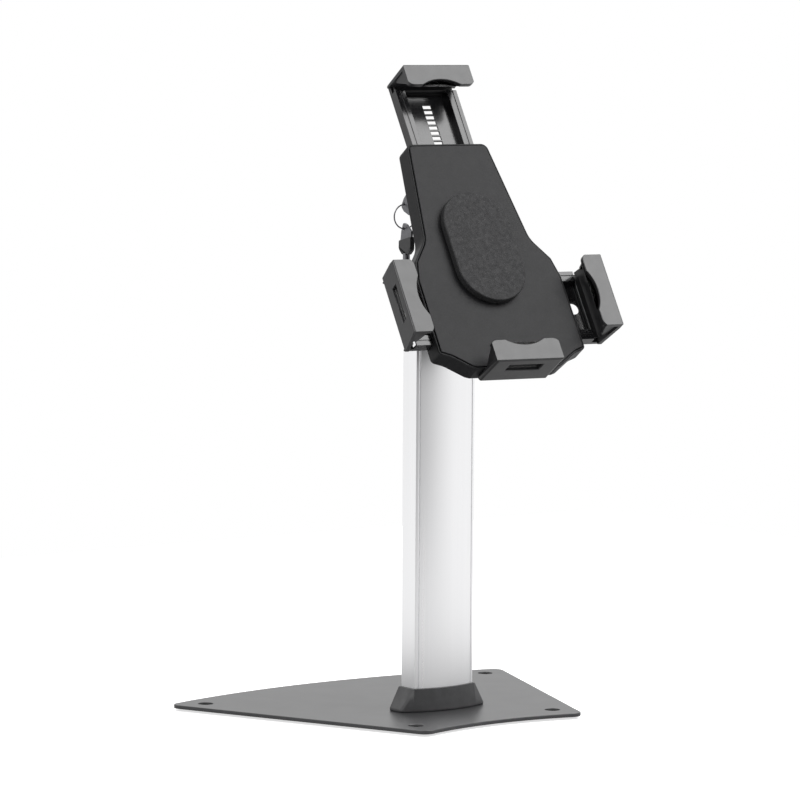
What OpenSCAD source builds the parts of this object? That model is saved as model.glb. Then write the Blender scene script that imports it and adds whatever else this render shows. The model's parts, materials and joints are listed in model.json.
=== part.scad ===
// Anti-theft desk stand for a tablet, in millimetres.
// +Z is up, the tablet faces -Y, and the origin lies on the table under the middle of the stand.
// The holder is drawn in its own frame: x to the right, y up the tablet, z out of its front face,
// with its origin where the turning axis meets the front face of the rear housing's rim.

/* [Base plate] */
// Thickness of the steel plate
plate_t = 3; // [2:0.5:5]
// Width across the rear corners before rounding
plate_rear_w = 331; // [280:0.5:380]
// Width across the front corners before rounding
plate_front_w = 152.6; // [130:0.2:200]
// From the column's axis to the rear corners
plate_rear_reach = 129.8; // [124:0.1:150]
// From the column's axis to the front corners
plate_front_reach = 88.2; // [75:0.1:110]
// How far the rear edge bows out
plate_rear_bow = 24.9; // [10:0.1:40]
// How far the front edge bows in
plate_front_bow = 12.2; // [4:0.1:20]
// Radius of the rear corners
plate_rear_r = 8; // [4:0.5:12]
// Radius of the front corners
plate_front_r = 9; // [4:0.5:12]

/* [Feet and table fixing] */
// Diameter of the holes in the plate that hold the feet
foot_hole_d = 12; // [9:0.1:14]
// Diameter of a foot below the plate
foot_d = 14.4; // [14.2:0.1:20]
// How far the feet stand out below the plate
foot_drop = 2; // [1:0.1:5]
// How far the foot's sleeve stays below the plate's top
foot_recess = 0.8; // [0.2:0.1:1.5]
// Diameter of the screw hole through each foot
table_screw_d = 6.5; // [4.5:0.1:8]
// Spacing of the two rear holes
rear_hole_w = 279; // [240:0.5:300]
// From the column's axis to the rear holes
rear_hole_reach = 116.9; // [90:0.1:130]
// Spacing of the two front holes
front_hole_w = 133.8; // [100:0.2:136]
// From the column's axis to the front holes
front_hole_reach = 61.4; // [50:0.1:66]

/* [Column] */
// Place of the column's axis from the origin, along Y
column_y = -8.3; // [-40:0.1:10]
// Width of the extrusion
column_w = 57; // [50:0.5:70]
// Length of its flat sides, front to back
column_side = 17; // [15:0.5:26]
// How far its front and rear faces bow out
column_bow = 4.5; // [3.5:0.1:7]
// Wall of the extrusion
column_wall = 1.8; // [1.4:0.1:2.4]
// Length of the extrusion
column_h = 300; // [260:1:330]
// Width of the grooves beside its corners
groove_w = 1.2; // [0.6:0.1:2]
// Depth of those grooves
groove_d = 0.7; // [0.3:0.1:0.9]
// From the extrusion's side to the middle of a groove
groove_in = 2.9; // [2.2:0.1:4]
// Across the middles of the screw ports, left to right
port_x = 46.8; // [40:0.1:47.4]
// Across the middles of the screw ports, front to back
port_y = 10.6; // [9.6:0.1:11]
// Outer diameter of a screw port
port_d = 7.6; // [7.4:0.1:8]

/* [Collar and cap] */
// Height of the collar round the column's foot
collar_h = 18; // [12:0.5:30]
// How far the collar flares to each side at its foot
collar_flare_x = 12.5; // [6:0.1:16]
// How far the collar flares to front and rear at its foot
collar_flare_y = 4.8; // [3.5:0.1:10]
// Thickness of the collar at its top
collar_top_t = 1.6; // [1:0.1:2.4]
// Thickness of the cap on the column
cap_t = 4; // [3:0.5:6]

/* [Neck, swivel and hinge] */
// Turn of the neck about the column's axis at rest, in degrees to the left
swivel = 7; // [-20:0.5:20]
// Diameter of the neck's round foot
neck_foot_d = 25; // [22:0.5:26]
// Thickness of the neck's foot
neck_foot_t = 5; // [3:0.5:6]
// Diameter of the neck's stem through the cap
stem_d = 12; // [8:0.5:12]
// From the column's axis forward to the hinge
hinge_forward = 25.1; // [16:0.1:30]
// From the top of the extrusion up to the hinge
hinge_rise = 36.7; // [34:0.1:60]
// Diameter of the hinge bolt's shank
hinge_bolt_d = 8; // [6:0.1:10]
// Diameter of the eye and the ears round the hinge
eye_d = 18; // [16.5:0.1:21]
// Width of the neck's eye
eye_w = 22; // [18:0.5:24]
// Thickness of the neck's leg
neck_leg_t = 12; // [8:0.5:14]
// Thickness of an ear of the yoke
ear_t = 4; // [3:0.5:6]
// Thickness of a hinge washer
hinge_washer_t = 0.8; // [0.5:0.1:1.5]
// Diameter of a hinge washer
hinge_washer_d = 17; // [14:0.5:20]

/* [Yoke and turning joint] */
// From the holder's front face back to the hinge
hinge_back = 44; // [40:0.5:54]
// Backward lean of the holder at rest, in degrees
lean = 33.5; // [10:0.1:45]
// Diameter of the yoke's disc
disc_d = 50; // [44:1:54]
// Thickness of the yoke's disc
disc_t = 3.2; // [2.5:0.1:3.4]
// Diameter of the turning bolt's shank
turn_bolt_d = 8; // [6:0.1:10]
// Thickness of the slip washer between hub and disc
slip_t = 0.8; // [0.5:0.1:1]
// Diameter of the slip washer
slip_d = 42; // [30:1:44]
// Thickness of the spring washer inside the hub
spring_washer_t = 1; // [0.6:0.1:1.4]

/* [Housing] */
// From the turning axis up to the top of the housing
case_top = 96.5; // [92:0.5:110]
// From the turning axis down to the bottom of the housing
case_bottom = 102; // [100:0.1:102.1]
// Half width at the top
case_top_half = 35.8; // [35:0.1:44]
// Half width at the waist
case_waist_half = 47.3; // [45:0.1:52]
// Height of the waist above the turning axis
case_waist_up = 10.4; // [6:0.1:16]
// Half width at the shoulders
case_shoulder_half = 60.6; // [58:0.2:64]
// Half width at the bottom
case_low_half = 64.8; // [64:0.2:70]
// Depth of the housing from rim to rear wall
case_depth = 15; // [13.5:0.1:18]
// Thickness of its side walls
case_wall = 2; // [1.5:0.1:2.5]
// Thickness of its rear wall
case_rear_t = 1.6; // [1.2:0.1:1.8]
// Width of the rim's lip in front
lip_w = 1.3; // [1:0.1:1.8]
// Width of the groove between rim and front plate
lip_gap = 0.7; // [0.4:0.1:1.2]
// Thickness of the front plate
front_t = 2; // [1.6:0.1:2.4]
// How far the front plate stands proud of the rim
front_proud = 0.8; // [0:0.1:1.2]
// Diameter of the hub on the rear
hub_d = 56; // [54:1:58]
// How far the hub stands out behind the housing
hub_out = 6; // [5.5:0.1:7]
// How far the lock box stands out behind the housing
box_out = 7.4; // [7.4:0.1:8.4]
// Wall of the hub and the lock box
box_wall = 1.8; // [1.4:0.1:2]
// Diameter of the posts that hold the front plate
post_d = 6; // [5:0.1:6.4]
// Diameter of the housing screws
case_screw_d = 2.6; // [2.2:0.1:3]

/* [Grip pad] */
// Width of the pad
pad_w = 58; // [46:1:64]
// Length of the pad
pad_l = 95.6; // [80:0.2:100]
// Height of the pad
pad_t = 6.2; // [3:0.1:8]
// Height of the pad's middle above the turning axis
pad_up = 0.8; // [-5:0.1:5]

/* [Arms] */
// Thickness of the arms' steel
arm_t = 1.5; // [1.2:0.1:1.6]
// Width of the top and bottom arms
tall_arm_w = 55; // [54:0.5:58]
// Width of the side arms
side_arm_w = 60; // [56:0.5:60]
// Width of the raised edge along each side of an arm
edge_w = 8.6; // [6:0.1:9]
// Height of the raised edges above an arm's web
edge_h = 7.1; // [5:0.1:7.2]
// How far the arm's outer flanges reach below its web
flange_drop = 1.7; // [0.5:0.1:1.8]
// From a claw's outer wall, at the arm, to where the arm's raised edges begin
edge_start = 8.2; // [7.8:0.1:12]
// From the turning axis to the outer face of the bottom claw
bottom_reach = 106.4; // [106.2:0.1:112]
// From the turning axis to the outer faces of the side claws
side_reach = 93.1; // [92:0.1:98]
// Height of the side arms' middle above the turning axis
side_arm_up = -47.5; // [-48:0.1:-47.5]
// Length of the top arm
top_arm_l = 113; // [108:0.1:113]
// Length of the bottom arm
bottom_arm_l = 74; // [68:0.1:78]
// Length of a side arm
side_arm_l = 68; // [64:0.1:68]
// Running clearance round the arms
slide_gap = 0.3; // [0.2:0.05:0.4]

/* [Ratchet slots and clamps] */
// Pitch of the ratchet slots
slot_pitch = 4.71; // [4.5:0.01:4.8]
// Number of ratchet slots
slot_n = 19; // [19:1:19]
// Width of a ratchet slot, across the arm
slot_w = 7.4; // [6:0.1:9]
// Height of a ratchet slot, along the arm
slot_h = 3.1; // [2.8:0.1:3.2]
// From the claw's outer face to the middle of the first slot
slot_first = 20.8; // [19:0.1:24]
// Slot, counted from the claw, that the pawl faces at rest
slot_at_pawl = 13; // [12:1:14]
// Width of the long clamp slots in the other arms
clamp_slot_w = 9.6; // [8:0.1:11]
// From the side claw's outer face to the outer end of its arm's clamp slot
side_slot_start = 15.7; // [14:0.1:18]
// Length of a side arm's clamp slot
side_slot_l = 46; // [44:0.1:46]
// From the bottom claw's outer face to the outer end of its arm's clamp slot
bottom_slot_start = 14; // [13:0.1:15]
// Length of the bottom arm's clamp slot
bottom_slot_l = 34; // [33:0.1:36]
// From the turning axis to each side clamp
side_clamp_x = 51; // [50:0.1:52]
// From the turning axis down to the bottom clamp
bottom_clamp_down = 85.2; // [84.6:0.1:85.6]
// Diameter of a clamp screw
clamp_d = 5.8; // [4:0.1:6]
// Diameter of a clamp screw's head
clamp_head_d = 10; // [9:0.1:12]
// Height of a clamp screw's head
clamp_head_h = 3.2; // [2.4:0.1:4]
// Diameter of a clamp nut
clamp_nut_d = 13; // [11:0.1:13.4]
// Height of a clamp nut
clamp_nut_h = 3.4; // [2.5:0.1:4]

/* [Claws] */
// Height of the claws' front face over the housing's rim
claw_front = 19.5; // [17:0.1:24]
// Thickness of the hook
hook_t = 3.8; // [3:0.1:4.5]
// Thickness of the outer wall
claw_wall = 3.5; // [3:0.1:4]
// How far the hook reaches in, measured from the outer face
hook_l = 18.6; // [17:0.1:22]
// Depth of the scallop in the hook's edge
scallop_d = 4.8; // [3:0.1:6]
// Width of the scallop
scallop_w = 34; // [28:0.5:38]
// Radius of the hook's inner corners
hook_r = 6; // [3:0.5:7]
// Radius of the hook's outer corners
claw_r = 3.5; // [1:0.5:4]
// Radius of the bend from hook to outer wall
bend_r = 1.5; // [1:0.5:3.5]
// How far the outer wall of a top or bottom claw leans in from the hook down to the seat
tall_lean = 0.5; // [0:0.1:0.6]
// How far the outer wall of a side claw leans in
side_lean = 6; // [0.5:0.1:6.4]
// How much longer each end is at the seat than at the hook
claw_flare = 1; // [0:0.1:2]
// From the arm's side to the groove along its raised edge
edge_groove_in = 4; // [3:0.1:6]
// Length of the top and bottom claws
tall_claw_l = 59; // [56:0.5:60]
// Length of a side claw
side_claw_l = 62; // [58:0.5:64]
// How far a claw's seat reaches in along the arm
seat_l = 7.6; // [7:0.1:7.7]
// Thickness of a claw's seat
seat_t = 3.2; // [3:0.1:4.5]
// Thickness of the gussets at a claw's ends
gusset_t = 2.2; // [1.5:0.1:3]
// How far a gusset reaches in under the hook
gusset_l = 12; // [8:0.1:14]
// Width of the window in a claw's outer wall
window_w = 30; // [24:0.5:34]
// Height of that window
window_h = 9; // [6:0.1:9]
// Height of the window's middle over the housing's rim
window_up = 7.6; // [5:0.1:9]
// Thickness of the rubber liner
liner_t = 1.2; // [0.8:0.1:2]
// Spacing of the claw screws
claw_screw_w = 40; // [30:0.5:42]
// From a claw's outer wall, at the arm, to its screws
claw_screw_in = 5.2; // [4.8:0.1:5.4]
// Diameter of a claw screw
claw_screw_d = 2.5; // [2:0.1:3]

/* [Lock, pawl and keys] */
// From the turning axis left to the lock
lock_left = 24.5; // [24:0.1:26]
// Height of the pawl above the turning axis
pawl_up = 75; // [72:0.1:77]
// From the pawl down to the lock
lock_drop = 9.1; // [8.8:0.1:10]
// Diameter of the lock barrel
barrel_d = 9; // [8.6:0.1:9.4]
// Diameter of the lock plug
plug_d = 7; // [6.8:0.1:7.4]
// Diameter of the post in the plug's ring slot
plug_post_d = 3; // [2.6:0.1:3.2]
// Outer diameter of the key's tube
key_tube_d = 5.6; // [5.2:0.1:5.8]
// How far the key's tube goes into the plug
key_depth = 5.6; // [4.8:0.1:5.8]
// Width of the key's bow
bow_w = 17; // [15:0.5:18]
// Thickness of the key's bow
bow_t = 1.8; // [1.4:0.1:2.4]
// Thickness of the moulded head round part of the bow
head_t = 4; // [3.4:0.1:5]
// Diameter of the hole in the bow
bow_hole_d = 3; // [2.6:0.1:3.4]
// From the lock's face to the hole in the bow
bow_hole_out = 20; // [18:0.1:22]
// How far the hole lies to one side of the key's axis
bow_hole_side = 2.8; // [0:0.1:3]
// Diameter of the key ring, at the middle of its wire
ring_d = 19; // [17:0.5:22]
// Diameter of the ring's wire
wire_d = 1.1; // [0.8:0.1:1.4]
// Travel of the pawl
pawl_travel = 2.4; // [2.4:0.1:2.6]
// Thickness of the pawl's plate
pawl_t = 1.5; // [1.2:0.1:1.6]
// Width of the pawl's bar
pawl_w = 8.5; // [7:0.1:9]
// Diameter of the pawl spring's wire
spring_wire_d = 0.5; // [0.3:0.05:0.6]
// Diameter of the pawl spring, at the middle of its wire
spring_d = 6; // [5:0.1:7]

/* [Hidden] */

// Clearances
fit = 0.1;
loose = 0.2;
over = 1;
lap = 0.01;
round_fn = 64;
$fn = round_fn;

// The top arm stands where one of its slots faces the pawl
top_reach = pawl_up + slot_first + slot_at_pawl * slot_pitch;
lock_up = pawl_up - lock_drop;

// Swivel stack: washer over the cap, spring washer and nut under it
swivel_washer_t = 0.8;
swivel_spring_t = 1.2;
swivel_spring_d = 20;
swivel_nut_w = 16;
swivel_nut_h = 7;
stem_tail = 1;

// Heights on the stand
plate_top = foot_drop + plate_t;
column_top = plate_top + column_h;
cap_top = column_top + cap_t;
neck_low = cap_top + swivel_washer_t;
hinge_z = column_top + hinge_rise;
bow_r = (pow(column_w / 2, 2) + pow(column_bow, 2)) / (2 * column_bow);
column_half = column_side / 2 + column_bow;
groove_x = column_w / 2 - groove_in;
groove_y = column_half - bow_r + sqrt(bow_r * bow_r - groove_x * groove_x);

// Collar: upright strips at its foot and its rim, and the corners of its foot
collar_foot_t = 2;
collar_rim_t = 1;
collar_r = 5;

// Screws into the column's ports
port_screw_d = 4.8;
port_bore_d = port_screw_d + 2 * fit;
port_head_d = 9;
port_head_h = 2.4;
port_screw_l = 22;

// Hinge stack, outwards from the middle
ear_in = eye_w / 2 + hinge_washer_t;
ear_out = ear_in + ear_t;
hinge_head_d = 13;
hinge_head_h = 4.5;
hinge_nut_h = 6.5;
hinge_tail = 1.5;
hinge_socket_w = 6;
hinge_socket_h = 3.5;
leg_step = 1;

// Depths in the holder's frame
gusset_gap = 0.7;
case_rear = -case_depth;
case_floor = case_rear + case_rear_t;
hub_rear = case_rear - hub_out;
hub_floor = hub_rear + box_wall;
box_rear = case_rear - box_out;
box_floor = box_rear + box_wall;
front_top = front_proud;
front_rear = front_proud - front_t;
pad_top = front_top + pad_t;
disc_front = hub_rear - slip_t;
disc_rear = disc_front - disc_t;
low_web = case_floor + slide_gap;
high_web = low_web + arm_t + slide_gap;
arm_mouth_top = high_web + edge_h + slide_gap;
gusset_low = front_top + gusset_gap;

// Turning bolt
turn_head_d = 13;
turn_head_h = 3.4;
turn_nut_h = 4.6;
turn_tail = 1;
spring_washer_d = 16;

// Pawl and cam
pawl_gap = 2;
pawl_back = box_floor + pawl_gap;
pawl_front = pawl_back + pawl_t;
tooth_gap = 0.5;
tooth_top = high_web - tooth_gap;
tooth_w = slot_w - 2 * tooth_gap;
tooth_h = slot_h - 2 * tooth_gap;
tail_in = barrel_d / 2 + tooth_gap;
tail_out = 9;
tail_w = 5;
pawl_end = 6.2;
pawl_bevel = 3.4;
cam_gap = 0.6;
cam_front = high_web - flange_drop - cam_gap;
cam_touch = 0.1;
cam_step = 15;
cam_lead = 30;
cam_facet = 5;
cam_web_t = 0.6;
cam_in = 4;
cam_out = 6.9;
barrel_flange_t = 0.8;
barrel_flange_w = 1.5;
lock_face = box_rear - barrel_flange_t;
barrel_in = pawl_front + cam_touch + loose;
key_turn = 90;
key_slot_w = 1.4;
key_slot_h = 2.6;

// Screws of the housing and the claws
case_head_d = 5;
case_head_h = 1.2;
claw_head_d = 4.6;
claw_screw_short = 0.6;
clamp_socket_w = 4;
clamp_socket_h = 1.8;

// A unit vector along v
function unit(v) = v / norm(v);

// Points on an arc from p to q that bows to the left of their line by s
function bowed(p, q, s, n) = let (
    m = (p + q) / 2, c = norm(q - p), u = (q - p) / c, w = [-u[1], u[0]],
    r = (c * c / 4 + s * s) / (2 * s), h = asin(c / 2 / r))
    [for (i = [0:n]) let (a = -h + 2 * h * i / n) m + u * r * sin(a) + w * (s - r + r * cos(a))];

// Points that round the corner p between its neighbours a and b
function corner(a, p, b, r, n) = r == 0 ? [p] : let (
    u = unit(a - p), w = unit(b - p), half = acos(u * w) / 2,
    c = p + unit(u + w) * r / sin(half),
    s = p + u * r / tan(half) - c, e = p + w * r / tan(half) - c,
    a0 = atan2(s[1], s[0]), turn = atan2(s[0] * e[1] - s[1] * e[0], s * e))
    [for (i = [0:n]) c + r * [cos(a0 + turn * i / n), sin(a0 + turn * i / n)]];

// Outline whose corners are rounded by the radii r
function rounded(pts, r, n = 6) = let (m = len(pts))
    [for (i = [0:m - 1]) each corner(pts[(i + m - 1) % m], pts[i], pts[(i + 1) % m], r[i], n)];

// Outline moved inwards by d, for points given counter-clockwise
function inset(pts, d) = let (m = len(pts))
    [for (i = [0:m - 1]) let (
        u = unit(pts[i] - pts[(i + m - 1) % m]), w = unit(pts[(i + 1) % m] - pts[i]),
        nu = [-u[1], u[0]], nw = [-w[1], w[0]])
        pts[i] + (nu + nw) * d / (1 + nu * nw)];

// Tube of radius r along a helix: coil radius, height and turns
function helix_point(coil_r, h, turns, t) =
    [coil_r * cos(360 * turns * t), coil_r * sin(360 * turns * t), h * t];

module helix(coil_r, r, h, turns, steps = 18, sides = 8) {
    n = ceil(turns * steps);
    rings = [for (i = [0:n]) let (
        t = i / n, a = 360 * turns * t, p = helix_point(coil_r, h, turns, t),
        out = [cos(a), sin(a), 0], along = unit([-sin(a), cos(a), h / (2 * PI * coil_r * turns)]),
        up = cross(out, along))
        for (k = [0:sides - 1]) p + r * (out * cos(360 * k / sides) - up * sin(360 * k / sides))];
    walls = [for (i = [0:n - 1]) for (k = [0:sides - 1]) let (
        a = i * sides + k, b = i * sides + (k + 1) % sides)
        each [[a, a + sides, b + sides], [a, b + sides, b]]];
    caps = [[for (k = [0:sides - 1]) k], [for (k = [sides - 1:-1:0]) n * sides + k]];
    polyhedron(rings, concat(walls, caps));
}

// Places on the stand and on the holder
module on_stand() translate([0, column_y, 0]) children();
module on_neck() on_stand() rotate([0, 0, -swivel]) children();
module on_hinge() on_neck() translate([0, -hinge_forward, hinge_z]) children();
module on_holder() on_hinge() rotate([90 - lean, 0, 0]) translate([0, 0, hinge_back]) children();
module on_lock() on_holder() translate([-lock_left, lock_up, 0]) children();

// Directions: a cylinder along X, and a profile in x and z run along y from y0 to y1
module along_x(d, x0, x1) translate([x0, 0, 0]) rotate([0, 90, 0]) cylinder(d = d, h = x1 - x0);
module from_to(d, z0, z1) translate([0, 0, z0]) cylinder(d = d, h = z1 - z0);
module run_y(y0, y1) translate([0, y1, 0]) rotate([90, 0, 0]) linear_extrude(y1 - y0) children();
module mirrored() for (m = [0, 1]) mirror([m, 0, 0]) children();
module hexagon(across, h) cylinder(d = across / cos(30), h = h, $fn = 6);

// Base plate
front_segments = 10;
plate_segments = 18;
front_bow_pts = bowed([-plate_front_w / 2, -plate_front_reach], [plate_front_w / 2, -plate_front_reach],
    plate_front_bow, front_segments);
rear_bow_pts = bowed([plate_rear_w / 2, plate_rear_reach], [-plate_rear_w / 2, plate_rear_reach],
    -plate_rear_bow, plate_segments);
plate_pts = concat(front_bow_pts, rear_bow_pts);
plate_radii = concat(
    [for (i = [0:front_segments]) i == 0 || i == front_segments ? plate_front_r : 0],
    [for (i = [0:plate_segments]) i == 0 || i == plate_segments ? plate_rear_r : 0]);
foot_places = [[-rear_hole_w / 2, rear_hole_reach], [rear_hole_w / 2, rear_hole_reach],
    [-front_hole_w / 2, -front_hole_reach], [front_hole_w / 2, -front_hole_reach]];
port_places = [for (x = [-port_x / 2, port_x / 2]) for (y = [-port_y / 2, port_y / 2]) [x, y]];

module at_feet() for (p = foot_places) translate(p) children();
module at_ports() for (p = port_places) translate(p) children();

module base_plate() color("dimgray") on_stand() difference() {
    translate([0, 0, foot_drop]) linear_extrude(plate_t) polygon(rounded(plate_pts, plate_radii));
    at_feet() from_to(foot_hole_d, foot_drop - over, plate_top + over);
    at_ports() {
        from_to(port_screw_d + 2 * loose, foot_drop - over, plate_top + over);
        translate([0, 0, foot_drop]) cylinder(d1 = port_head_d + 2 * loose,
            d2 = port_screw_d + 2 * loose, h = port_head_h);
    }
}

module rubber_feet() color("black") on_stand() at_feet() difference() {
    union() {
        from_to(foot_d, 0, foot_drop);
        from_to(foot_hole_d - 2 * fit, foot_drop, plate_top - foot_recess);
    }
    from_to(table_screw_d, -over, plate_top + over);
}

// Column: the section grows by gx at the sides and gy at front and rear
module section(gx = 0, gy = 0) intersection() {
    square([column_w + 2 * gx, 2 * (column_half + gy)], center = true);
    translate([0, bow_r - column_half - gy]) circle(bow_r, $fn = 180);
    translate([0, column_half + gy - bow_r]) circle(bow_r, $fn = 180);
}

module column() color("silver") on_stand() translate([0, 0, plate_top]) difference() {
    linear_extrude(column_h) section();
    difference() {
        translate([0, 0, -over]) linear_extrude(column_h + 2 * over)
            section(-column_wall, -column_wall);
        at_ports() from_to(port_d, -2 * over, column_h + 2 * over);
    }
    at_ports() from_to(port_bore_d, -over, column_h + over);
    for (s = [-1, 1]) mirrored() translate([groove_x, s * groove_y, column_h / 2])
        cube([groove_w, 2 * groove_d, column_h + 2 * over], center = true);
}

module port_screw() {
    cylinder(d1 = port_head_d, d2 = port_screw_d, h = port_head_h);
    cylinder(d = port_screw_d, h = port_screw_l);
}

module column_screws() color("silver") on_stand() at_ports()
    translate([0, 0, foot_drop]) port_screw();

module column_collar() color("#2a2a2b") on_stand() difference() {
    hull() {
        translate([0, 0, plate_top]) linear_extrude(collar_foot_t)
            offset(r = collar_r, $fn = 32) offset(delta = -collar_r)
                section(collar_flare_x, collar_flare_y);
        translate([0, 0, plate_top + collar_h - collar_rim_t]) linear_extrude(collar_rim_t)
            section(collar_top_t, collar_top_t);
    }
    translate([0, 0, plate_top - over]) linear_extrude(collar_h + 2 * over) section(fit, fit);
}

module column_cap() color("#2a2a2b") on_stand() difference() {
    translate([0, 0, column_top]) linear_extrude(cap_t) section();
    at_ports() {
        from_to(port_screw_d + 2 * loose, column_top - over, cap_top + over);
        translate([0, 0, cap_top - port_head_h]) cylinder(d1 = port_screw_d + 2 * loose,
            d2 = port_head_d + 2 * loose, h = port_head_h);
    }
    from_to(stem_d + 2 * fit, column_top - over, cap_top + over);
}

module cap_screws() color("silver") on_stand() at_ports()
    translate([0, 0, cap_top]) mirror([0, 0, 1]) port_screw();

// Neck and hinge
module swivel_washer() color("ivory") on_neck() difference() {
    from_to(neck_foot_d, cap_top, neck_low);
    from_to(stem_d + 2 * fit, cap_top - over, neck_low + over);
}

module neck_bracket() color("#333436") difference() {
    union() {
        on_neck() {
            from_to(neck_foot_d, neck_low, neck_low + neck_foot_t);
            from_to(stem_d, column_top - swivel_spring_t - swivel_nut_h - stem_tail, neck_low);
        }
        hull() {
            on_neck() translate([0, 0, neck_low + neck_foot_t / 2])
                cube([eye_w - 2 * leg_step, neck_leg_t, neck_foot_t], center = true);
            on_hinge() along_x(neck_leg_t, -eye_w / 2, eye_w / 2, $fn = 32);
        }
        on_hinge() along_x(eye_d, -eye_w / 2, eye_w / 2);
    }
    on_hinge() along_x(hinge_bolt_d + 2 * fit, -eye_w, eye_w);
}

module swivel_spring() color("silver") on_neck() difference() {
    from_to(swivel_spring_d, column_top - swivel_spring_t, column_top);
    from_to(stem_d + 2 * fit, column_top - 2 * swivel_spring_t, column_top + over);
}

module swivel_nut() color("#47484a") on_neck() difference() {
    translate([0, 0, column_top - swivel_spring_t - swivel_nut_h]) hexagon(swivel_nut_w, swivel_nut_h);
    from_to(stem_d, column_top - 2 * swivel_nut_h, column_top);
}

module hinge_bolt() color("#47484a") on_hinge() {
    along_x(hinge_bolt_d, -ear_out, ear_out + hinge_nut_h + hinge_tail);
    difference() {
        along_x(hinge_head_d, -ear_out - hinge_head_h, -ear_out);
        translate([-ear_out - hinge_head_h - over, 0, 0]) rotate([0, 90, 0])
            hexagon(hinge_socket_w, hinge_socket_h + over);
    }
}

module hinge_nut() color("#47484a") on_hinge() difference() {
    translate([ear_out, 0, 0]) rotate([0, 90, 0]) hexagon(hinge_head_d, hinge_nut_h);
    along_x(hinge_bolt_d, 0, 2 * ear_out);
}

module hinge_washers() color("ivory") on_hinge() mirrored() difference() {
    along_x(hinge_washer_d, eye_w / 2, ear_in);
    along_x(hinge_bolt_d + 2 * fit, 0, eye_w);
}

// Yoke and turning joint
module tilt_yoke() color("#333436") on_holder() difference() {
    union() {
        from_to(disc_d, disc_rear, disc_front);
        for (x = [-ear_out, ear_in]) hull() {
            translate([x, -eye_d / 2, disc_rear]) cube([ear_t, eye_d, disc_t / 2]);
            translate([0, 0, -hinge_back]) along_x(eye_d, x, x + ear_t, $fn = 32);
        }
    }
    translate([0, 0, -hinge_back]) along_x(hinge_bolt_d + 2 * fit, -2 * ear_out, 2 * ear_out);
    from_to(turn_bolt_d, disc_rear - over, disc_front + over);
}

turn_head_rear = hub_floor + spring_washer_t;
module turn_bolt() color("#47484a") on_holder() {
    translate([0, 0, turn_head_rear]) hexagon(turn_head_d, turn_head_h);
    from_to(turn_bolt_d, disc_rear - turn_nut_h - turn_tail, turn_head_rear);
}

module turn_nut() color("#47484a") on_holder() difference() {
    translate([0, 0, disc_rear - turn_nut_h]) hexagon(turn_head_d, turn_nut_h);
    from_to(turn_bolt_d, disc_rear - 2 * turn_nut_h, disc_rear + over);
}

module slip_washer() color("ivory") on_holder() difference() {
    from_to(slip_d, disc_front, hub_rear);
    from_to(turn_bolt_d + 2 * fit, disc_front - over, hub_rear + over);
}

module spring_washer() color("silver") on_holder() difference() {
    from_to(spring_washer_d, hub_floor, turn_head_rear);
    from_to(turn_bolt_d + 2 * fit, hub_floor - over, turn_head_rear + over);
}

// Housing
// The outline's right half, from the bottom up: x, height above the bottom or the axis, and radius
foot_half = 36;
foot_ease = [4, 1.2];
foot_side = [9.8, 11];
hip_low = 14.5;
hip_in = 0.4;
hip_down = 24;
shoulder_down = 7.5;
foot_r = [4, 14];
hip_r = [3.5, 20];
shoulder_r = 6;
waist_r = 22;
top_corner_r = 5.5;
case_half = [
    [foot_half, -case_bottom, foot_r[0]],
    [foot_half + foot_ease[0], foot_ease[1] - case_bottom, foot_r[0]],
    [case_low_half - foot_side[0], foot_side[1] - case_bottom, foot_r[1]],
    [case_low_half, hip_low - case_bottom, hip_r[0]], [case_low_half - hip_in, -hip_down, hip_r[1]],
    [case_shoulder_half, -shoulder_down, shoulder_r], [case_waist_half, case_waist_up, waist_r],
    [case_top_half, case_top, top_corner_r]];
case_all = concat(case_half, [for (i = [len(case_half) - 1:-1:0])
    [-case_half[i][0], case_half[i][1], case_half[i][2]]]);
case_pts = [for (p = case_all) [p[0], p[1]]];
case_outline = rounded(case_pts, [for (p = case_all) p[2]]);

// Posts, by how far they stay in from the side and from the end, the waist or the side arms
post_top = [3.4, 9];
post_waist = [5.5, 8];
post_low_in = 6.6;
post_gap = 0.9;
post_places = [[case_top_half - post_top[0], case_top - post_top[1]],
    [case_waist_half - post_waist[0], case_waist_up + post_waist[1]],
    [case_low_half - post_low_in, side_arm_up - side_arm_w / 2 - post_d / 2 - post_gap]];

module at_posts() mirrored() for (p = post_places) translate(p) children();

mouth_start = case_waist_half - 2;
module arm_mouth(w) run_y(0, 2 * case_bottom)
    translate([-w / 2 - slide_gap, case_floor]) square([w + 2 * slide_gap, arm_mouth_top - case_floor]);

// The lock box is a flat bulge round the lock's cam and the pawl
box_round = 7.8;
box_lock_r = 10.7;
box_lock_in = 2.8;
box_left = 18;
box_right = 8;
box_step = 4;
box_low = lock_up + box_step;
module box_body(grow, z0, z1) translate([0, 0, z0]) linear_extrude(z1 - z0) hull() {
    translate([box_lock_in - lock_left, lock_up]) circle(r = box_lock_r + grow, $fn = 32);
    for (p = [[-box_left, pawl_up], [box_right, pawl_up], [box_right, box_low]])
        translate(p) circle(r = box_round + grow, $fn = 32);
}

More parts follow.
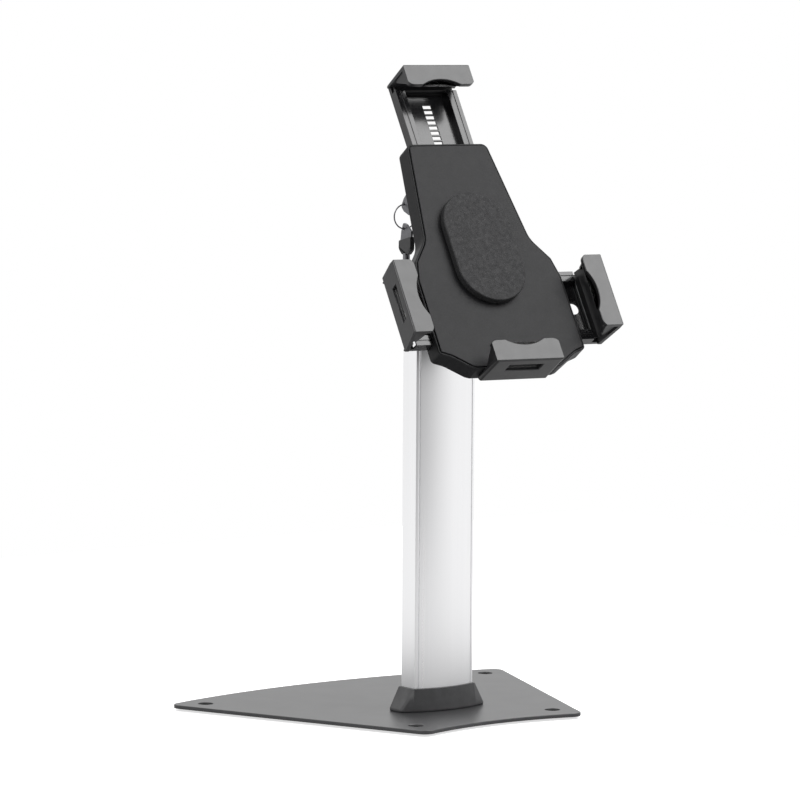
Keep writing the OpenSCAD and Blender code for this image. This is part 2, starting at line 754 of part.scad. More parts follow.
module rear_housing() color("#262627") on_holder() difference() {
    union() {
        translate([0, 0, case_rear]) linear_extrude(case_depth) polygon(case_outline);
        from_to(hub_d, hub_rear, case_rear + over);
        box_body(0, box_rear, case_rear + over);
    }
    difference() {
        translate([0, 0, case_floor]) linear_extrude(case_depth) polygon(inset(case_outline, case_wall));
        at_posts() from_to(post_d, case_floor - over, front_rear);
    }
    translate([0, 0, front_rear]) linear_extrude(case_depth) polygon(inset(case_outline, lip_w));
    from_to(hub_d - 2 * box_wall, hub_floor, case_floor + over);
    box_body(-box_wall, box_floor, case_floor + over);
    arm_mouth(tall_arm_w);
    rotate([0, 0, 180]) arm_mouth(tall_arm_w);
    for (a = [-90, 90]) translate([0, side_arm_up, 0]) rotate([0, 0, a])
        translate([0, mouth_start, 0]) arm_mouth(side_arm_w);
    from_to(turn_bolt_d + 2 * fit, hub_rear - over, hub_floor + over);
    translate([-lock_left, lock_up, 0]) from_to(barrel_d + 2 * fit, box_rear - over, box_floor + over);
    at_posts() {
        from_to(case_screw_d + 2 * fit, case_rear - over, front_rear + over);
        translate([0, 0, case_rear]) cylinder(d1 = case_head_d + 2 * fit,
            d2 = case_screw_d + 2 * fit, h = case_head_h);
    }
    at_clamps() from_to(clamp_d + 2 * fit, case_rear - over, case_floor + over);
}

module housing_screws() color("silver") on_holder() at_posts() {
    translate([0, 0, case_rear]) cylinder(d1 = case_head_d, d2 = case_screw_d, h = case_head_h);
    from_to(case_screw_d, case_rear, front_rear + front_t / 2);
}

module front_plate() color("#303031") on_holder() difference() {
    translate([0, 0, front_rear]) linear_extrude(front_t)
        polygon(inset(case_outline, lip_w + lip_gap));
    at_posts() from_to(case_screw_d, front_rear - over, front_rear + front_t / 2);
}

module grip_pad() color("#3a3a3b") on_holder() translate([0, pad_up, front_top]) {
    for (s = [-1, 1]) translate([0, s * (pad_l - pad_w) / 2, 0]) cylinder(d = pad_w, h = pad_t, $fn = 96);
    translate([-pad_w / 2, -(pad_l - pad_w) / 2, 0]) cube([pad_w, pad_l - pad_w, pad_t]);
}

// Clamps of the side arms and the bottom arm: each child is given the web it clamps
module at_side_clamps() for (x = [-side_clamp_x, side_clamp_x]) translate([x, side_arm_up, 0]) children();
module at_bottom_clamp() translate([0, -bottom_clamp_down, 0]) children();
module at_clamps() union() {
    at_side_clamps() children();
    at_bottom_clamp() children();
}

module clamp_screw(web) difference() {
    union() {
        from_to(clamp_head_d, case_rear - clamp_head_h, case_rear);
        from_to(clamp_d, case_rear, web + arm_t + fit + clamp_nut_h);
    }
    translate([0, 0, case_rear - clamp_head_h - over]) hexagon(clamp_socket_w, over + clamp_socket_h);
}

module clamp_screws() color("#47484a") on_holder() {
    at_side_clamps() clamp_screw(high_web);
    at_bottom_clamp() clamp_screw(low_web);
}

module clamp_nut(web) difference() {
    from_to(clamp_nut_d, web + arm_t + fit, web + arm_t + fit + clamp_nut_h);
    from_to(clamp_d, web, web + arm_t + 2 * clamp_nut_h);
}

module clamp_nuts() color("#47484a") on_holder() {
    at_side_clamps() clamp_nut(high_web);
    at_bottom_clamp() clamp_nut(low_web);
}

// Arms: y runs outwards, and the claw's outer face is at y = reach
edge_groove_w = 1;
edge_groove_d = 0.5;
end_gap = 1;
tongue_gap = 2;
module arm_section(w, web, drop) mirrored() {
    translate([-lap, web]) square([w / 2 - edge_w + arm_t + lap, arm_t]);
    translate([w / 2 - edge_w, web]) square([arm_t, edge_h]);
    translate([w / 2 - edge_w, web + edge_h - arm_t]) square([edge_w, arm_t]);
    translate([w / 2 - arm_t, web - drop]) square([arm_t, edge_h + drop]);
}

module edge_grooves(w, web, y0, y1) mirrored()
    translate([w / 2 - edge_groove_in - edge_groove_w / 2, y0, web + edge_h - edge_groove_d])
        cube([edge_groove_w, y1 - y0, 2 * edge_groove_d]);

module arm_end_section(w, web) {
    translate([-w / 2, web]) square([w, arm_t]);
    mirrored() translate([w / 2 - arm_t, web - flange_drop]) square([arm_t, arm_t + flange_drop]);
}

module claw_screw_places(reach, lean_in) for (x = [-claw_screw_w / 2, claw_screw_w / 2])
    translate([x, reach - lean_in - claw_screw_in, 0]) children();

module claw_screws(reach, web, lean_in) claw_screw_places(reach, lean_in) {
    translate([0, 0, web]) cylinder(d1 = claw_head_d, d2 = claw_screw_d, h = arm_t);
    from_to(claw_screw_d, web, web + arm_t + seat_t - claw_screw_short);
}

// An arm whose outer flanges reach below its web from y = drop_from outwards
module arm_body(w, reach, length, web, lean_in, drop_from) difference() {
    union() {
        run_y(reach - length, reach - lean_in - edge_start) arm_section(w, web, 0);
        run_y(drop_from, reach - lean_in - edge_start) arm_section(w, web, flange_drop);
        run_y(reach - lean_in - edge_start - lap, reach - lean_in - end_gap) arm_end_section(w, web);
    }
    edge_grooves(w, web, reach - length - over, reach);
}

module top_arm() color("#1d1d1e") on_holder() difference() {
    arm_body(tall_arm_w, top_reach, top_arm_l, high_web, tall_lean, top_reach - top_arm_l);
    for (i = [0:slot_n - 1])
        translate([0, top_reach - slot_first - i * slot_pitch, high_web + arm_t / 2])
            cube([slot_w, slot_h, 2 * arm_t], center = true);
    claw_screws(top_reach, high_web, tall_lean);
}

module clamp_slot(reach, start, length, web) {
    r = clamp_slot_w / 2;
    for (y = [reach - start - length + r, reach - start - r])
        translate([0, y, web - over]) cylinder(r = r, h = arm_t + 2 * over);
    translate([-r, reach - start - length + r, web - over])
        cube([clamp_slot_w, length - clamp_slot_w, arm_t + 2 * over]);
}

// The side arms' flanges stay clear of the bottom arm's tongue when the arms are pushed in
side_push = 18;
side_drop_from = tall_arm_w / 2 + side_push + tongue_gap;
module side_arm() difference() {
    arm_body(side_arm_w, side_reach, side_arm_l, high_web, side_lean, side_drop_from);
    clamp_slot(side_reach, side_slot_start, side_slot_l, high_web);
    claw_screws(side_reach, high_web, side_lean);
}

module on_left() on_holder() translate([0, side_arm_up, 0]) rotate([0, 0, 90]) children();
module on_right() on_holder() translate([0, side_arm_up, 0]) rotate([0, 0, -90]) children();
module on_bottom() on_holder() rotate([0, 0, 180]) children();

module left_arm() color("#1d1d1e") on_left() side_arm();
module right_arm() color("#1d1d1e") on_right() side_arm();

// The bottom arm's tongue runs flat behind the side arms
tongue_clear = -side_arm_up + side_arm_w / 2 + tongue_gap;
module bottom_arm() color("#1d1d1e") on_bottom() difference() {
    union() {
        run_y(bottom_reach - bottom_arm_l, bottom_reach - tall_lean - end_gap)
            translate([-tall_arm_w / 2, low_web]) square([tall_arm_w, arm_t]);
        run_y(tongue_clear, bottom_reach - tall_lean - edge_start)
            mirrored() translate([tall_arm_w / 2 - arm_t, low_web]) square([arm_t, edge_h]);
    }
    clamp_slot(bottom_reach, bottom_slot_start, bottom_slot_l, low_web);
    claw_screws(bottom_reach, low_web, tall_lean);
}

// Claw: a hook over the tablet's edge, with its seat on the arm's web
module hook_plan(length, reach) {
    inner = reach - hook_l;
    difference() {
        polygon(rounded(
            [[-length / 2, inner], [length / 2, inner], [length / 2, reach], [-length / 2, reach]],
            [hook_r, hook_r, claw_r, claw_r]));
        scallop_r = (pow(scallop_w / 2, 2) + pow(scallop_d, 2)) / (2 * scallop_d);
        translate([0, inner + scallop_d - scallop_r]) circle(scallop_r, $fn = 128);
    }
}

wall_draft = 0.4;
module wall_profile(reach, web, lean_in) polygon(concat(
    [[reach - lean_in - claw_wall, web + arm_t], [reach - lean_in, web + arm_t]],
    corner([reach - lean_in, web + arm_t], [reach, claw_front], [0, claw_front], bend_r, 5),
    [[reach - hook_l, claw_front], [reach - hook_l, claw_front - hook_t],
        [reach - claw_wall - wall_draft, claw_front - hook_t]]));

// A gusset ties hook and wall together in front of the housing, and ends inside both
gusset_in = 1;
gusset_foot = 2;
wall_bite = 0.8;
module gusset_profile(reach, lean_in) {
    high = claw_front - hook_t;
    tip = reach - claw_wall - gusset_l;
    polygon([[tip, high + fit], [tip + gusset_foot / 2, high - gusset_foot],
        [reach - claw_wall - lean_in - gusset_foot, gusset_low], [reach - lean_in - wall_bite, gusset_low],
        [reach - wall_bite, high + fit]]);
}

module extrude_x(x0, x1) translate([x0, 0, 0]) rotate([90, 0, 90]) linear_extrude(x1 - x0) children();

module window_cut(reach) translate([-window_w / 2, reach - 3 * claw_wall, window_up - window_h / 2])
    cube([window_w, 4 * claw_wall, window_h]);

// Seen along the arm, a claw is wider at its seat than at its hook
module claw_front_view(length, web) polygon([[-length / 2 - claw_flare, web], [length / 2 + claw_flare, web],
    [length / 2, claw_front + over], [-length / 2, claw_front + over]]);

module claw(length, reach, web, lean_in) difference() {
    half = length / 2 + claw_flare;
    union() {
        intersection() {
            extrude_x(-half, half) wall_profile(reach, web, lean_in);
            translate([0, 0, web]) linear_extrude(claw_front - web + over) hook_plan(2 * half, reach);
            run_y(reach - hook_l - over, reach + over) claw_front_view(length, web);
        }
        translate([-length / 2 + claw_r, reach - lean_in - seat_l, web + arm_t])
            cube([length - 2 * claw_r, seat_l - end_gap, seat_t]);
        mirrored() extrude_x(length / 2 - gusset_t - gusset_in, length / 2 - gusset_in)
            gusset_profile(reach, lean_in);
    }
    window_cut(reach);
    claw_screws(reach, web, lean_in);
}

// The liner covers wall and hook where they hold the tablet
liner_gap = 0.4;
liner_tip = 5.5;
module liner(length, reach, web, lean_in) difference() {
    half = length / 2 - gusset_t - gusset_in - liner_gap;
    base = web + arm_t;
    high = claw_front - hook_t;
    inner = reach - claw_wall - wall_draft;
    foot = inner - (lean_in - wall_draft) * (high - gusset_low) / (high - base);
    tip = inner - liner_t - liner_tip;
    extrude_x(-half, half) polygon([[foot, gusset_low], [inner, high], [tip, high], [tip, high - liner_t],
        [inner - liner_t, high - liner_t], [foot - liner_t, gusset_low]]);
    translate([0, 0, -loose]) window_cut(reach);
}

module top_claw() color("#6f7072") on_holder() claw(tall_claw_l, top_reach, high_web, tall_lean);
module bottom_claw() color("#6f7072") on_bottom() claw(tall_claw_l, bottom_reach, low_web, tall_lean);
module left_claw() color("#6f7072") on_left() claw(side_claw_l, side_reach, high_web, side_lean);
module right_claw() color("#6f7072") on_right() claw(side_claw_l, side_reach, high_web, side_lean);
module top_liner() color("#18181a") on_holder() liner(tall_claw_l, top_reach, high_web, tall_lean);
module bottom_liner() color("#18181a") on_bottom() liner(tall_claw_l, bottom_reach, low_web, tall_lean);
module left_liner() color("#18181a") on_left() liner(side_claw_l, side_reach, high_web, side_lean);
module right_liner() color("#18181a") on_right() liner(side_claw_l, side_reach, high_web, side_lean);
module top_claw_screws() color("silver") on_holder() claw_screws(top_reach, high_web, tall_lean);
module bottom_claw_screws() color("silver") on_bottom() claw_screws(bottom_reach, low_web, tall_lean);
module left_claw_screws() color("silver") on_left() claw_screws(side_reach, high_web, side_lean);
module right_claw_screws() color("silver") on_right() claw_screws(side_reach, high_web, side_lean);

// Lock: barrel, plug and helical cam, seen in the frame of the lock
module lock_barrel() color("silver") on_lock() difference() {
    union() {
        from_to(barrel_d, lock_face, barrel_in);
        from_to(barrel_d + 2 * barrel_flange_w, lock_face, box_rear);
    }
    from_to(plug_d + 2 * fit, lock_face - over, barrel_in + over);
}

module ring_slot(extra) difference() {
    from_to(key_tube_d + 2 * extra, lock_face - over, lock_face + key_depth + extra);
    from_to(plug_post_d, lock_face - 2 * over, lock_face + key_depth + over);
}

module lock_plug() color("#9a9b9d") on_lock() difference() {
    from_to(plug_d, lock_face, cam_front);
    ring_slot(fit);
    translate([0, plug_d / 2, lock_face]) cube([key_slot_w, plug_d, 2 * key_slot_h], center = true);
}

// The cam's rear steps forward round the plug, and each step overlaps the one before it
cam_rear_low = pawl_front + cam_touch;
cam_steps = key_turn / cam_step;
function on_circle(r, a) = r * [cos(a), sin(a)];
module cam_wedge(a0, a1, rear) translate([0, 0, rear]) linear_extrude(cam_front - rear) polygon(concat(
    [for (a = [a0:cam_facet:a1]) on_circle(cam_out, a)],
    [for (a = [a1:-cam_facet:a0]) on_circle(cam_in, a)]));

module lock_cam() color("#9a9b9d") on_lock() difference() {
    union() {
        from_to(2 * (cam_in + fit), cam_front - cam_web_t, cam_front);
        for (k = [0:cam_steps - 1])
            cam_wedge(k * cam_step - cam_lead - (k == 0 ? 0 : cam_facet), (k + 1) * cam_step - cam_lead,
                cam_rear_low + pawl_travel * (k + 1) / cam_steps);
        cam_wedge(key_turn - cam_lead - cam_facet, key_turn + cam_lead, cam_rear_low + pawl_travel);
    }
    from_to(plug_d, cam_front - 2 * cam_web_t, cam_front + over);
}

module pawl() color("#9a9b9d") on_holder() {
    lock = [-lock_left, lock_up];
    translate([lock[0] + tail_in, lock[1] - tail_w / 2, pawl_back])
        cube([tail_out - tail_in, pawl_up - lock[1] + tail_w / 2 - pawl_w / 2 + fit, pawl_t]);
    translate([0, pawl_up, pawl_back]) linear_extrude(pawl_t) polygon([
        [lock[0] + tail_in, -pawl_w / 2], [pawl_end, -pawl_w / 2], [pawl_end, pawl_w / 2],
        [lock[0] + tail_in + pawl_bevel, pawl_w / 2], [lock[0] + tail_in, pawl_w / 2 - pawl_bevel]]);
    translate([-tooth_w / 2, pawl_up - tooth_h / 2, pawl_back])
        cube([tooth_w, tooth_h, tooth_top - pawl_back]);
}

spring_turns = 3.5;
spring_left = 13;
module pawl_spring() color("silver") on_holder()
    translate([-spring_left, pawl_up, box_floor + spring_wire_d / 2])
    helix(spring_d / 2, spring_wire_d / 2, pawl_gap - spring_wire_d, spring_turns);

// Keys: z runs from the tube's end to the bow, and the bow's plate lies in y and z
bow_start = 1;
bow_past_hole = 5;
bow_end = bow_hole_out + bow_past_hole;
bow_from = 9;
bow_radii = [1, 3, 2, 2, 2.5, 4, 3, 1];
neck_half = 4;
tip_in = 1.5;
slope_l = 6.8;
tube_lap = 0.2;
head_start = 0.3;
head_side = 0.6;
head_from = 4;
head_slant = [5.4, 9.4];
head_radii = [1.5, 3, 1, 1, 3, 1.5];

// The bow tapers towards its end, more on the side away from the hole
module key_plate() difference() {
    half = bow_w / 2;
    rotate([0, -90, 0]) translate([0, 0, -bow_t / 2]) linear_extrude(bow_t) polygon(rounded([
        [bow_start, -neck_half], [bow_from, -half], [bow_end - slope_l, -half],
        [bow_end - tip_in, -tip_in], [bow_end, neck_half], [bow_end - slope_l, half - tip_in],
        [bow_from, half], [bow_start, neck_half]], bow_radii));
    translate([0, bow_hole_side, bow_hole_out]) along_x(bow_hole_d, -bow_t, bow_t);
}

module key_tube() difference() {
    from_to(key_tube_d, -key_depth, bow_start + tube_lap);
    from_to(plug_post_d + 2 * fit, -key_depth - over, 0);
}

module key_body() union() {
    key_plate();
    key_tube();
}

module key_grip() difference() {
    rotate([0, -90, 0]) translate([0, 0, -head_t / 2]) linear_extrude(head_t)
        polygon(rounded([[head_start, -neck_half - head_side], [head_from, -bow_w / 2 - head_side],
            [bow_hole_out - head_slant[0], -bow_w / 2 - head_side],
            [bow_hole_out - head_slant[1], bow_w / 2 + head_side], [head_from, bow_w / 2 + head_side],
            [head_start, neck_half + head_side]], head_radii));
    key_plate();
    key_tube();
}

// The inserted key points backwards out of the lock, and the spare hangs from the ring
key_gap = 0.4;
module on_key() on_lock() translate([0, 0, lock_face - key_gap]) mirror([0, 0, 1]) children();
hole_back = hinge_back + lock_face - key_gap - bow_hole_out;
hole_up = lock_up + bow_hole_side;
ring_y = hole_up * sin(lean) - hinge_forward - hole_back * cos(lean);
ring_top = hinge_z + hole_back * sin(lean) + hole_up * cos(lean);
ring_bottom = ring_top - ring_d;
module on_spare() on_neck()
    translate([-lock_left, ring_y - bow_hole_side, ring_bottom - bow_hole_out]) children();

module key() color("#a8a9ab") on_key() key_body();
module key_head() color("#1f1f20") on_key() key_grip();
module spare_key() color("#a8a9ab") on_spare() key_body();
module spare_key_head() color("#1f1f20") on_spare() key_grip();

module key_ring() color("silver") on_neck() translate([-lock_left, ring_y, ring_top - ring_d / 2])
    rotate([90, 0, 0]) rotate_extrude($fn = 96) translate([ring_d / 2, 0]) circle(d = wire_d, $fn = 24);

base_plate();
rubber_feet();
column_collar();
column();
column_screws();
column_cap();
cap_screws();
swivel_washer();
neck_bracket();
swivel_spring();
swivel_nut();
hinge_bolt();
hinge_nut();
hinge_washers();
tilt_yoke();
turn_bolt();
turn_nut();
slip_washer();
spring_washer();
rear_housing();
front_plate();
housing_screws();
grip_pad();
clamp_screws();
clamp_nuts();
lock_barrel();
pawl_spring();
lock_plug();
lock_cam();
pawl();
key();
key_head();
key_ring();
spare_key();
spare_key_head();
top_arm();
top_claw();
top_liner();
top_claw_screws();
bottom_arm();
bottom_claw();
bottom_liner();
bottom_claw_screws();
left_arm();
left_claw();
left_liner();
left_claw_screws();
right_arm();
right_claw();
right_liner();
right_claw_screws();
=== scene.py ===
"""Dresses the tablet desk stand: rounded edges, finishes, light, floor and camera."""

import json
import math

import bmesh
import bpy
from mathutils import Matrix, Vector

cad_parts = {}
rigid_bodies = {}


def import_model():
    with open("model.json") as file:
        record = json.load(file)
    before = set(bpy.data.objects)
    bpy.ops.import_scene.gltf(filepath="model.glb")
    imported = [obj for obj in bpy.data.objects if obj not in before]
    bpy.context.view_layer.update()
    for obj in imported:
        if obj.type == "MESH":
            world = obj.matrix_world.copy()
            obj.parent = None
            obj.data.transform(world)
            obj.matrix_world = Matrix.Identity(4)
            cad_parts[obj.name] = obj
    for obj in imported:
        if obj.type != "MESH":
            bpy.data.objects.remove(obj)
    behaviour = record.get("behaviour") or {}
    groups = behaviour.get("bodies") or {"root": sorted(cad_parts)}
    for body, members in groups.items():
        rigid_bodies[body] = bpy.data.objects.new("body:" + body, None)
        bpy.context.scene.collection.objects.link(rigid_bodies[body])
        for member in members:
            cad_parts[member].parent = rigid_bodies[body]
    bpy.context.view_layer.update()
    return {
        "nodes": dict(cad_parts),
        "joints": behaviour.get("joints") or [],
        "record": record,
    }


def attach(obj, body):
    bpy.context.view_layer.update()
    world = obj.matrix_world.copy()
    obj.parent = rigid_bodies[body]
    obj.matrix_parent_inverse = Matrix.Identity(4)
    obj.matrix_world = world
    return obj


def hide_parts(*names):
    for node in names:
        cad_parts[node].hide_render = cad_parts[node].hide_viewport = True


MM = 0.001

# Clean start
for leftover in list(bpy.data.objects):
    bpy.data.objects.remove(leftover)

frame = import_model()
record = frame["record"]
nodes = frame["nodes"]
joints = {joint["name"]: joint for joint in frame["joints"]}
slot_of = {part["node"]: part["material_slot"] for part in record["subparts"]}
body_of = {node: body for body, held in record["behaviour"]["bodies"].items() for node in held}
scene = bpy.context.scene

# Camera, as fitted to the photograph
PHOTO_PX = 800
FOCAL_PX = 4328.95
SENSOR_MM = 36
CAMERA_AT = Vector((-2.044496, -2.676283, 0.548277))
CAMERA_RIGHT = Vector((0.79953, -0.60059, 0.00633))
CAMERA_AHEAD = Vector((0.59865, 0.79600, -0.08940))
CLIP_START = 0.1
CLIP_END = 60

ahead = CAMERA_AHEAD.normalized()
up = CAMERA_RIGHT.cross(ahead).normalized()
right = ahead.cross(up)
camera_data = bpy.data.cameras.new("camera")
camera_data.sensor_width = SENSOR_MM
camera_data.lens = FOCAL_PX / PHOTO_PX * SENSOR_MM
camera_data.clip_start = CLIP_START
camera_data.clip_end = CLIP_END
camera = bpy.data.objects.new("camera", camera_data)
scene.collection.objects.link(camera)
scene.camera = camera
camera_turn = Matrix((right, up, -ahead)).transposed().to_4x4()
camera.matrix_world = Matrix.Translation(CAMERA_AT) @ camera_turn

# The holder's own axes, across it, out of its front and up along it, and the point it turns on
tilt_axis = Vector(joints["holder_tilt"]["axis"]).normalized()
out_axis = -Vector(joints["holder_turn"]["axis"]).normalized()
up_axis = out_axis.cross(tilt_axis).normalized()
holder_at = Vector(joints["holder_turn"]["pos_m"])


# Node trees
def new_node(tree, kind, inputs=None, **settings):
    """A new node of a tree. Each input is a value, or an output that is linked to it."""
    node = tree.nodes.new(kind)
    for name, value in settings.items():
        setattr(node, name, value)
    for key, value in (inputs or {}).items():
        if isinstance(value, bpy.types.NodeSocket):
            tree.links.new(value, node.inputs[key])
        else:
            node.inputs[key].default_value = value
    return node


def map_range(tree, value, source, target, **settings):
    """A value's source range stretched to the target range, and held beyond its ends."""
    inputs = {
        "Value": value,
        "From Min": source[0],
        "From Max": source[1],
        "To Min": target[0],
        "To Max": target[1],
    }
    return new_node(tree, "ShaderNodeMapRange", inputs, **settings).outputs["Result"]


def mixed_shader(tree, share, first, second):
    """The first shader where share is 0, the second where it is 1."""
    return new_node(tree, "ShaderNodeMixShader", {0: share, 1: first, 2: second}).outputs[0]


def by_ray(tree, seen, mirrored, other):
    """One shader for camera rays, one for reflected or refracted ones and one for the others."""
    path = tree.nodes.new("ShaderNodeLightPath").outputs
    rays = {0: path["Is Glossy Ray"], 1: path["Is Transmission Ray"]}
    in_mirror = new_node(tree, "ShaderNodeMath", rays, operation="MAXIMUM").outputs[0]
    unseen = mixed_shader(tree, in_mirror, other, mirrored)
    return mixed_shader(tree, path["Is Camera Ray"], unseen, seen)


# Materials
# The band of a noise that is stretched to its full range
NOISE_BAND = (0.3, 0.7)
# How much the specks' noise rises from where they start to where they are full
SPECK_EDGE = 0.08
LEAST_ROUGH = 0.02


def material(
    name,
    base,
    rough,
    grain,
    tone,
    polish,
    fine_grain=None,
    specks=None,
    metallic=0.0,
    spec=0.5,
    coat=0.0,
    coat_rough=0.1,
):
    """A node material. A grain is (scale, depth in mm), tone and polish are (scale, amount),
    specks are (scale, colour, noise they start at). A scale is one number or three, per metre."""
    made = bpy.data.materials.new(name)
    made.use_nodes = True
    tree = made.node_tree
    surface = tree.nodes["Principled BSDF"].inputs
    surface["Base Color"].default_value = (*base, 1)
    surface["Roughness"].default_value = rough
    surface["Metallic"].default_value = metallic
    surface["Specular IOR Level"].default_value = spec
    surface["Coat Weight"].default_value = coat
    surface["Coat Roughness"].default_value = coat_rough
    place = tree.nodes.new("ShaderNodeTexCoord").outputs["Object"]

    def noise(scale, detail=3.0, roughness=0.5):
        scales = scale if isinstance(scale, tuple) else (scale, scale, scale)
        scaled = new_node(tree, "ShaderNodeMapping", {"Vector": place, "Scale": scales})
        inputs = {
            "Vector": scaled.outputs["Vector"],
            "Scale": 1.0,
            "Detail": detail,
            "Roughness": roughness,
        }
        return new_node(tree, "ShaderNodeTexNoise", inputs).outputs["Fac"]

    def mixed_colour(share, first, second):
        inputs = {"Factor": share, "A": first, "B": second}
        return new_node(tree, "ShaderNodeMix", inputs, data_type="RGBA").outputs["Result"]

    scale, amount = tone
    dark = (*(c * (1 - amount) for c in base), 1)
    light = (*(min(1, c * (1 + amount)) for c in base), 1)
    colour = mixed_colour(map_range(tree, noise(scale), NOISE_BAND, (0, 1)), dark, light)
    if specks:
        scale, speck, start = specks
        dots = noise(scale, detail=2.0, roughness=0.6)
        dots = map_range(tree, dots, (start, start + SPECK_EDGE), (0, 1))
        colour = mixed_colour(dots, colour, (*speck, 1))
    tree.links.new(colour, surface["Base Color"])

    scale, amount = polish
    range_of_rough = (max(LEAST_ROUGH, rough - amount), rough + amount)
    tree.links.new(
        map_range(tree, noise(scale), NOISE_BAND, range_of_rough), surface["Roughness"]
    )

    bump = {"Strength": 1.0}
    for scale, depth in [item for item in (grain, fine_grain) if item]:
        bump["Distance"] = depth * MM
        bump["Height"] = noise(scale, detail=2.0)
        bump["Normal"] = new_node(tree, "ShaderNodeBump", bump).outputs["Normal"]
    tree.links.new(bump["Normal"], surface["Normal"])
    return made


LOOKS = {
    "plate_paint": dict(
        base=(0.032, 0.032, 0.034), rough=0.34, spec=0.80,
        grain=(1400, 0.006), tone=(60, 0.03), polish=(40, 0.008),
    ),
    "foot_rubber": dict(
        base=(0.018, 0.018, 0.018), rough=0.75, spec=0.3,
        grain=(900, 0.05), tone=(200, 0.25), polish=(120, 0.08),
    ),
    "collar_plastic": dict(
        base=(0.046, 0.046, 0.048), rough=0.44, spec=0.36,
        grain=(2200, 0.012), tone=(120, 0.15), polish=(90, 0.05),
    ),
    "column_anodised": dict(
        base=(0.92, 0.92, 0.93), rough=0.28, metallic=1.0,
        grain=((1500, 1500, 12), 0.0015), fine_grain=(5200, 0.002),
        tone=((500, 500, 2), 0.008), polish=((300, 300, 3), 0.008),
    ),
    "cap_paint": dict(
        base=(0.022, 0.022, 0.024), rough=0.4,
        grain=(1500, 0.01), tone=(90, 0.12), polish=(90, 0.05),
    ),
    "neck_paint": dict(
        base=(0.022, 0.022, 0.024), rough=0.4,
        grain=(1500, 0.012), tone=(90, 0.12), polish=(90, 0.06),
    ),
    "bright_screws": dict(
        base=(0.62, 0.62, 0.64), rough=0.28, metallic=1.0,
        grain=(2500, 0.004), tone=(500, 0.08), polish=(400, 0.08),
    ),
    "dark_fasteners": dict(
        base=(0.045, 0.045, 0.048), rough=0.34, metallic=0.6,
        grain=(2500, 0.006), tone=(400, 0.2), polish=(400, 0.08),
    ),
    "nylon": dict(
        base=(0.62, 0.61, 0.56), rough=0.45,
        grain=(1200, 0.01), tone=(200, 0.06), polish=(200, 0.06),
    ),
    "spring_steel": dict(
        base=(0.55, 0.55, 0.57), rough=0.3, metallic=1.0,
        grain=(2500, 0.004), tone=(400, 0.08), polish=(300, 0.08),
    ),
    "case_plastic": dict(
        base=(0.010, 0.010, 0.011), rough=0.46, spec=0.18,
        grain=(2600, 0.07), tone=(900, 0.20), polish=(160, 0.02),
    ),
    "pad_rubber": dict(
        base=(0.021, 0.021, 0.022), rough=0.66, spec=0.26,
        grain=(1500, 0.12), fine_grain=(4200, 0.04), tone=(500, 0.25),
        polish=(300, 0.08), specks=(1500, (0.060, 0.060, 0.061), 0.60),
    ),
    "arm_paint": dict(
        base=(0.010, 0.010, 0.011), rough=0.22, spec=0.55, coat=0.22, coat_rough=0.14,
        grain=(500, 0.003), tone=(80, 0.12), polish=(90, 0.02),
    ),
    "claw_paint": dict(
        base=(0.014, 0.014, 0.015), rough=0.31, spec=0.58,
        grain=(2600, 0.008), tone=(300, 0.08), polish=(120, 0.03),
    ),
    "liner_rubber": dict(
        base=(0.026, 0.026, 0.026), rough=0.6, spec=0.4,
        grain=(1200, 0.03), tone=(300, 0.2), polish=(200, 0.06),
    ),
    "lock_metal": dict(
        base=(0.52, 0.52, 0.54), rough=0.2, metallic=1.0,
        grain=(1500, 0.003), tone=(300, 0.06), polish=(300, 0.05),
    ),
    "pawl_steel": dict(
        base=(0.55, 0.55, 0.57), rough=0.34, metallic=1.0,
        grain=((300, 2500, 300), 0.004), tone=(300, 0.08), polish=(300, 0.08),
    ),
    "key_metal": dict(
        base=(0.20, 0.20, 0.21), rough=0.34, metallic=1.0,
        grain=(1800, 0.004), tone=(300, 0.08), polish=(300, 0.06),
    ),
    "key_plastic": dict(
        base=(0.020, 0.020, 0.021), rough=0.34,
        grain=(2500, 0.006), tone=(300, 0.12), polish=(200, 0.06),
    ),
}
finish_of = {name: material(name, **look) for name, look in LOOKS.items()}


def paint(piece, slot):
    piece.data.materials.clear()
    piece.data.materials.append(finish_of[slot])


def add_piece(name, mesh, body, slot):
    piece = bpy.data.objects.new(name, mesh)
    scene.collection.objects.link(piece)
    paint(piece, slot)
    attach(piece, body)
    return piece


def shade(mesh, sharp_from):
    """Smooth shading that breaks at edges sharper than the given angle."""
    for face in mesh.polygons:
        face.use_smooth = True
    mesh.set_sharp_from_angle(angle=sharp_from)


# Rounded edges
# Faces that differ by less lie in one plane, and edges that are flatter bound nothing
SAME_PLANE = math.radians(0.6)
NEARLY_FLAT = math.radians(8)
# Edges sharper than this are rounded, or shaded sharp where a node is carried over as it is
SHARP = math.radians(32)
# Edges sharper than this are shaded sharp on a piece that has been rounded
SHARP_WHEN_ROUNDED = math.radians(38)
# Vertices this close are one
WELD = 1e-6
# A face counts as crossed by an axis from this cosine between the axis and its normal
CROSSED = 0.3
# A cut serves each hole that it passes within this share of the hole's width from its middle
CUT_REACH = 0.3
# Another edge bounds a rounding if it is less than this many times, and a hair, further off
# than it is inward
SIDE_REACH = 2.5
SIDE_SLACK = 1e-5
# Keeps an edge of no length from dividing by zero
LEAST_SQUARE = 1e-12
# The room beside an edge that nothing bounds, in metres
FREE_ROOM = 1.0
# How much of the room beside an edge its rounding may take
SHARE = 0.4
SHARES = {"rear_housing": 0.8}
# How often the widths of roundings that meet are evened out
EVENING = 3
# Roundings wider than this, in millimetres, have three segments instead of two
BROAD = 0.6


